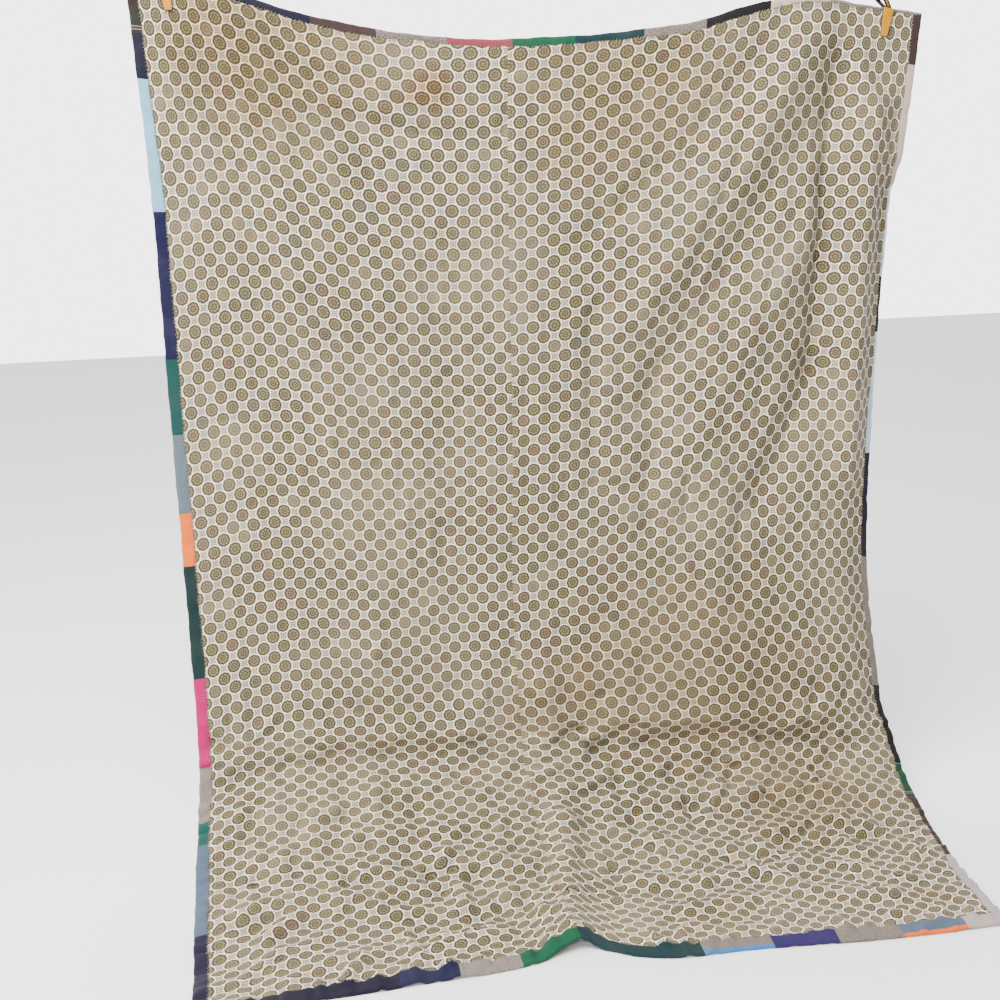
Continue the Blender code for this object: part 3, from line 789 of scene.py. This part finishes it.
def seamed(start, end, seams, cell):
    """Grid lines between two places, with closer ones beside each seam."""
    found = [place for place in evenly(start, end, cell)
             if all(abs(place - seam) > 1.4 * BESIDE_SEAM for seam in seams)]
    found += [seam + beside for seam in seams for beside in (-BESIDE_SEAM, 0.0, BESIDE_SEAM)
              if start < seam + beside < end]
    return np.array(sorted({*found, start, end}))


CUT_IN = 0.0005              # the face ends this far inside the cut edge
SEAM_DIP, SEAM_DEPTH = 0.0022, 0.0012
PUFF, PUFF_REACH = 0.0007, 0.03
chance = np.random.default_rng(5)
column_grids = []
for number, (first, last) in enumerate(zip(COLUMNS, COLUMNS[1:])):
    if number in (0, len(COLUMNS) - 2):
        edge = EDGES["left" if number == 0 else "right"]
        ends, names = [end for end, _ in edge], [name for _, name in edge]
    else:
        ends, names = [], []
        while not ends or ends[-1] < LENGTH - 0.12:
            ends.append((ends[-1] if ends else 0.0) + chance.choice((0.12, 0.16, 0.22, 0.30)))
            names.append(chance.choice(list(SCRAPS)))
        ends[-1] = LENGTH
        middle = (first[0] + last[0]) / 2
        names[0], names[-1] = scrap_at("top", middle), scrap_at("bottom", middle)
    down_lines = seamed(CUT_IN, LENGTH - CUT_IN, ends[:-1], 0.0085)
    share = np.concatenate([[0.0, 0.02], np.linspace(0.07, 0.93, 12), [0.98, 1.0]])
    share, down = np.meshgrid(share, down_lines, indexing="ij")
    fall = down / LENGTH
    left = first[0] + (first[1] - first[0]) * fall
    right = last[0] + (last[1] - last[0]) * fall
    across = np.clip(left + (right - left) * share, CUT_IN, WIDTH - CUT_IN)
    to_seam = np.abs(down[..., None] - np.array([-1.0, *ends[:-1]])).min(axis=-1)
    to_side = np.minimum(share, 1 - share) * (right - left)
    dip = np.maximum(np.exp(-(to_seam / SEAM_DIP) ** 2), np.exp(-(to_side / SEAM_DIP) ** 2))
    puffed = PUFF * np.clip(to_side / PUFF_REACH, 0, 1) * np.clip(to_seam / PUFF_REACH, 0, 1)
    rise = -FILLING + SEAM_DEPTH * dip - puffed * (down < BEND)
    grid = cloth(f"column {number}", raised(across, down, rise)[::-1], scraps_finish,
                 quilt=np.stack([across, down], axis=-1)[::-1])
    middles = (down_lines[:-1] + down_lines[1:]) / 2
    scraps = [names[next(i for i, end in enumerate(ends) if middle < end + 1e-6)] for middle in middles]
    dyed(grid, scraps * (share.shape[0] - 1))
    column_grids.append(grid)
face = joined("patchwork_face", column_grids)
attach(face, "root")
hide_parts("quilt_top")

# Edge strips: the face's own scraps folded round the cut edge onto the printed back, turned under
# and overcast by hand. They are narrow at the head, wide at the foot, and pucker where they ease.
# distance in from the cut edge as a share of the strip's width plus millimetres, rise in millimetres
STRIP_PROFILE = (
    (1.0, -0.4, 0.7), (1.0, 0.0, 1.0), (1.0, -1.0, 1.9), (0.85, 0.0, 2.3), (0.6, 0.0, 2.4),
    (0.35, 0.0, 2.3), (0.15, 0.0, 2.2), (0.0, 1.2, 1.9), (0.0, -0.6, 1.2), (0.0, -1.7, 0.0),
    (0.0, -2.2, -1.6), (0.0, -1.8, -3.3), (0.0, -0.6, -4.5), (0.0, 1.4, -4.8), (0.0, 4.0, -4.7),
)
# name, node, width, from, to
STRIPS = (
    ("left", "edge_left", SIDE_BINDING, -0.0022, LENGTH + 0.0022),
    ("right", "edge_right", SIDE_BINDING, -0.0022, LENGTH + 0.0022),
    ("top", "edge_top", HEAD_BINDING, 0.004, WIDTH - 0.004),
    ("bottom", "edge_bottom", FOOT_BINDING, 0.004, WIDTH - 0.004),
)
# Edge, from, to, and the scrap that shows along the inner side of the strip there
FRINGES = (
    ("bottom", 0.96, 1.11, "taupe"),
    ("bottom", 1.39, 1.53, "slate blue"),
)
# Along the head and right strips: place, share of the width that shows on the printed side
SHOWING = {
    "top": ((0.0, 0.9), (0.48, 0.9), (0.56, 0.55), (0.64, 0.8), (1.22, 1.0), (1.30, 0.65),
            (1.38, 0.24), (1.62, 0.2)),
    "right": ((0.0, 1.0), (0.24, 0.9), (0.36, 0.35), (0.72, 0.3), (0.80, 0.7), (1.36, 0.8),
              (1.66, 0.7), (1.80, 0.9), (1.86, 0.5), (2.04, 0.45), (2.12, 0.9), (2.38, 1.0)),
}


def wander(place, seed, *waves):
    """A slow uneven line: a sum of (length, height) waves."""
    return sum(height * np.sin(2 * math.pi * place / length + seed * 2.3 + 1.7 * i)
               for i, (length, height) in enumerate(waves))


def inner_edge(edge, width, place):
    seed = list(EDGES).index(edge)
    if edge in SHOWING:
        width = width * np.interp(place, *np.array(SHOWING[edge]).T)
    return width + wander(place, seed, (0.31, 0.0010), (0.083, 0.0007), (0.027, 0.0004))


for edge, node, width, start, end in STRIPS:
    seams = [place for place, _ in EDGES[edge][:-1]]
    places = seamed(start, end, seams, 0.0055)
    share, extra, rise = np.array(STRIP_PROFILE).T
    seed = list(EDGES).index(edge)
    upright = edge in ("left", "right")
    place = places[None, :] + 0 * share[:, None]
    uneven = wander(places, seed + 5, (0.19, 0.0006), (0.061, 0.0005), (0.023, 0.0002))
    inward = share[:, None] * inner_edge(edge, width, places)[None, :] + extra[:, None] / 1000
    inward = inward + np.where(share[:, None] == 0, uneven[None, :], 0)
    to_seam = np.abs(places[:, None] - np.array(seams)).min(axis=1)
    ripple = wander(places, seed + 9, (0.047, 0.5), (0.029, 0.4), (0.0171, 0.35), (0.0117, 0.25))
    swell = 1 - 0.35 * np.exp(-(to_seam / SEAM_DIP) ** 2) + 0.26 * ripple
    to_end = np.minimum(places - start, end - places)
    closing = np.clip(to_end / 0.003, 0, 1) ** 0.5 if upright else 1.0
    tucked = 0.0 if upright else 0.9 * (to_end < SIDE_BINDING - 0.004)
    lift = np.where(rise[:, None] > 1.5, rise[:, None] * swell - tucked, rise[:, None])
    lift = -1.5 + (lift + 1.5) * closing
    across, down = on_edge(edge, inward, place)
    points = raised(across, down, lift / 1000)
    points[..., 2] = np.maximum(points[..., 2], FLOOR + 0.0002)
    quilt = np.stack([across, down], axis=-1)
    if edge in ("left", "bottom"):
        points, quilt = points[::-1], quilt[::-1]
    if not upright:
        points, quilt = points.swapaxes(0, 1), quilt.swapaxes(0, 1)
    strip = cloth(f"edge_strip_{edge}", points, scraps_finish, quilt=quilt)
    middles = (places[:-1] + places[1:]) / 2
    names = np.array([[scrap_at(edge, middle) for middle in middles]] * (len(share) - 1))
    for at_edge, first, last, name in FRINGES:
        if at_edge == edge:
            names[:6, (middles > first) & (middles < last)] = name
    names = names[::-1] if edge in ("left", "bottom") else names
    names = names if upright else names.T
    dyed(strip, names.ravel())
    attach(strip, "root")
    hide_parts(node)
    shown = float(np.mean(inner_edge(edge, width, places)))

# Overcast stitches: short slanting loops of cotton thread over the inner edge of the strips, pale on
# the dark scraps and dark green on the pale ones, sewn by hand and so never quite even.
STITCH_PITCH, THREAD = 0.0066, 0.00028
PALE = 440                   # sum of a dye's three numbers, over which the thread is dark
thread_colours = {"pale": (150, 140, 116), "dark": (38, 54, 44)}


def thread_finish(name, colour):
    f = Finish(name, Roughness=0.75, Sheen_Weight=0.3)
    across, down = f.map("quilt")
    twist = ((across + down) * (2 * math.pi / 0.0009)).math("SINE")
    colour = f.mix(twist.step(-0.6, 0.8) * 0.35, srgb(*colour), srgb(*(c * 0.62 for c in colour)))
    f.wear("Base Color", colour)
    f.bump(twist, 0.0003, 0.6)
    return f.material


chance = np.random.default_rng(23)
for shade, colour in thread_colours.items():
    paths, maps = [], []
    for edge, node, width, start, end in STRIPS:
        places = np.arange(start + 0.012, end - 0.012, STITCH_PITCH)
        places = places + chance.uniform(-0.0014, 0.0014, len(places))
        pale_cloth = np.array([sum(SCRAPS[scrap_at(edge, place)]) > PALE for place in places])
        places = places[pale_cloth if shade == "dark" else ~pale_cloth]
        slant = chance.uniform(0.0008, 0.0030, (len(places), 1))
        reach = chance.uniform(0.0022, 0.0044, (len(places), 1))
        part = np.linspace(-1, 1, 5)
        inward = inner_edge(edge, width, places)[:, None] - part * reach
        across, down = on_edge(edge, inward, places[:, None] + part * slant)
        rise = 0.0010 + 0.0004 * (part > 0) + 0.0017 * (1 - part ** 2)
        paths.append(raised(across, down, rise + 0 * across))
        maps.append(np.stack([across, down], axis=-1))
    paths, maps = np.concatenate(paths), np.concatenate(maps)
    run = np.gradient(paths, axis=1)
    run /= np.linalg.norm(run, axis=-1, keepdims=True)
    side = np.cross(run, np.array([0.3, -1.0, 0.2]))
    side /= np.linalg.norm(side, axis=-1, keepdims=True)
    up = np.cross(side, run)
    turn = np.linspace(0, 2 * math.pi, 5, endpoint=False)[:, None]
    spoke = side[:, :, None] * np.cos(turn) + up[:, :, None] * np.sin(turn)
    rings = paths[:, :, None] + THREAD * spoke
    count, points, sides = rings.shape[:3]
    index = np.arange(count * points * sides).reshape(count, points, sides)
    quads = np.stack([index[:, :-1], np.roll(index, -1, 2)[:, :-1], np.roll(index, -1, 2)[:, 1:],
                      index[:, 1:]], axis=-1).reshape(-1, 4)
    mesh = bpy.data.meshes.new(f"overcast_stitches_{shade}")
    mesh.from_pydata(rings.reshape(-1, 3).tolist(), [], quads.tolist())
    spread = np.repeat(maps.reshape(-1, 1, 2), sides, axis=1).reshape(-1, 2)
    lay_map(mesh, "quilt", spread, quads)
    stitches = smooth_piece(mesh.name, mesh, thread_finish(f"{shade} cotton thread", colour))
    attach(stitches, "root")

# Spring clips: two hold the quilt by its top edge. Each has a pair of jaws moulded in yellow plastic
# with a soft black rim, on a black sprung bow that leans away to the left over the cloth's edge.
JAW_LENGTH, JAW_TOP, JAW_WIDTH, JAW_THICK, JAW_TAPER = 0.054, 0.001, 0.022, 0.0055, 0.62
CLIP_LEANS = {"left": 0.0, "right": 4.0}
JAW_SEAT = 0.0023            # from the middle surface to the front jaw's inner face
GRIP_TOP, GRIP_SLOPE = -0.008, 0.0543   # where the jaw starts to thin towards its tip, and how fast
RIM_CORNER, RIM_DEPTH = 0.002, 0.0014
RIM, RIB, STRIPE = 0.0013, 0.0008, 0.0017   # radii
BOW_HEIGHT, BOW_SLANT = 0.034, 1.1
# The stripe on the bow: how far it stands out, share of the bow's height
STRIPE_PATH = ((0.0010, 0.08), (0.0079, 0.36), (0.0079, 0.52), (0.0079, 0.68))


def moulded(name, colour, worn, roughness):
    f = Finish(name, Roughness=roughness)
    f.shader.inputs["Specular IOR Level"].default_value = 0.3
    place = f.node("ShaderNodeTexCoord", {}, {}, "Object")
    scuffs = f.noise(place, 380.0, 3.0, 0.65)
    colour = f.mix(scuffs.step(0.56, 0.72) * 0.35, srgb(*colour), srgb(*worn))
    f.wear("Base Color", f.mix(f.noise(place, 60.0, 3.0).step(0.45, 0.8) * 0.25, colour, srgb(*worn)))
    f.wear("Roughness", scuffs * 0.25 + (roughness - 0.10))
    f.bump(f.noise(place, 900.0, 2.0), 0.0002, 0.4)
    return f.material


jaw_finish = moulded("yellow moulded plastic", (178, 118, 0), (146, 90, 0), 0.45)
bow_finish = moulded("black moulded plastic", (22, 21, 22), (58, 55, 52), 0.48)


def seat(across, lean):
    """Frame on the top edge: X along the edge, -Y out of the printed side, Z up the cloth."""
    at = np.array([across])
    low, high = sheet(at, np.array([0.05]))[0], sheet(at, np.array([0.0]))[0]
    out = Vector(normal_of(sheet, at, np.array([0.025]))[0])
    up = Vector(high - low).normalized()
    side = up.cross(out).normalized()
    turn = Matrix((side, -side.cross(up), up)).transposed().to_4x4()
    return Matrix.Translation(Vector(high)) @ turn @ Matrix.Rotation(math.radians(lean), 4, "Y")


def rod(bm, path, radius, sides=8):
    """A round bar along points, with closed ends."""
    path = [Vector(point) for point in path]
    rings = []
    for i, point in enumerate(path):
        run = (path[min(i + 1, len(path) - 1)] - path[max(i - 1, 0)]).normalized()
        side = run.orthogonal().normalized() if not rings else (side - side.project(run)).normalized()
        up = run.cross(side)
        turns = [2 * math.pi * k / sides for k in range(sides)]
        spokes = [side * math.cos(t) + up * math.sin(t) for t in turns]
        rings.append([bm.verts.new(point + radius * spoke) for spoke in spokes])
    for near, far in zip(rings, rings[1:]):
        for k in range(sides):
            bm.faces.new((near[k], near[(k + 1) % sides], far[(k + 1) % sides], far[k]))
    bm.faces.new(rings[0][::-1])
    bm.faces.new(rings[-1])


def moulding(name, bm, place, finish):
    mesh = bpy.data.meshes.new(name)
    bm.to_mesh(mesh)
    bm.free()
    mesh.transform(place)
    piece = smooth_piece(name, mesh, finish)
    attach(piece, "root")


for name, across in CLIPS:
    for jaw in ("front", "back"):
        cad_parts[f"clip_{name}_jaw_{jaw}"].material_slots[0].material = jaw_finish
    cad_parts[f"clip_{name}_spring"].material_slots[0].material = bow_finish
    place = seat(across, CLIP_LEANS[name])
    # soft rim let into the edge of the front jaw, round its sides and tip
    half, tip = JAW_WIDTH / 2, -JAW_LENGTH
    narrow = half * JAW_TAPER
    bm = bmesh.new()
    corner = [(narrow - RIM_CORNER * (1 - math.cos(t)), tip + RIM_CORNER * (1 - math.sin(t)))
              for t in np.linspace(0, math.pi / 2, 5)]
    outline = [(half, JAW_TOP - 0.001), *corner]
    outline += [(-x, z) for x, z in reversed(outline)]
    rod(bm, [(x, -JAW_SEAT - RIM_DEPTH, z) for x, z in outline], RIM)
    moulding(f"clip_{name}_rim", bm, place, bow_finish)
    # grip ribs across the front jaw
    bm = bmesh.new()
    for z in (-0.004, -0.008, -0.012, -0.016):
        face_y = -JAW_SEAT - JAW_THICK + max(0.0, (GRIP_TOP - z) * GRIP_SLOPE)
        rod(bm, [(x * half, face_y + 0.0002, z) for x in (-0.72, -0.3, 0.3, 0.72)], RIB)
    moulding(f"clip_{name}_ribs", bm, place, jaw_finish)
    # yellow stripe let into the bow's front
    bm = bmesh.new()
    front = -JAW_SEAT - JAW_THICK + 0.0006
    rod(bm, [(-BOW_SLANT * up * BOW_HEIGHT, front - out, JAW_TOP + up * BOW_HEIGHT)
             for out, up in STRIPE_PATH], STRIPE)
    moulding(f"clip_{name}_stripe", bm, place, jaw_finish)

# Floor of the studio: a plain pale sheet of board under the cloth that lies, much wider than the
# view. It is no part of the quilt.
bpy.ops.mesh.primitive_plane_add(size=14.0, location=(0, -1.0, FLOOR))
floor = bpy.context.object
floor.name = "floor"
pale = Finish("pale floor", Roughness=0.85)
pale.shader.inputs["Base Color"].default_value = (0.86, 0.86, 0.86, 1.0)
floor.data.materials.append(pale.material)
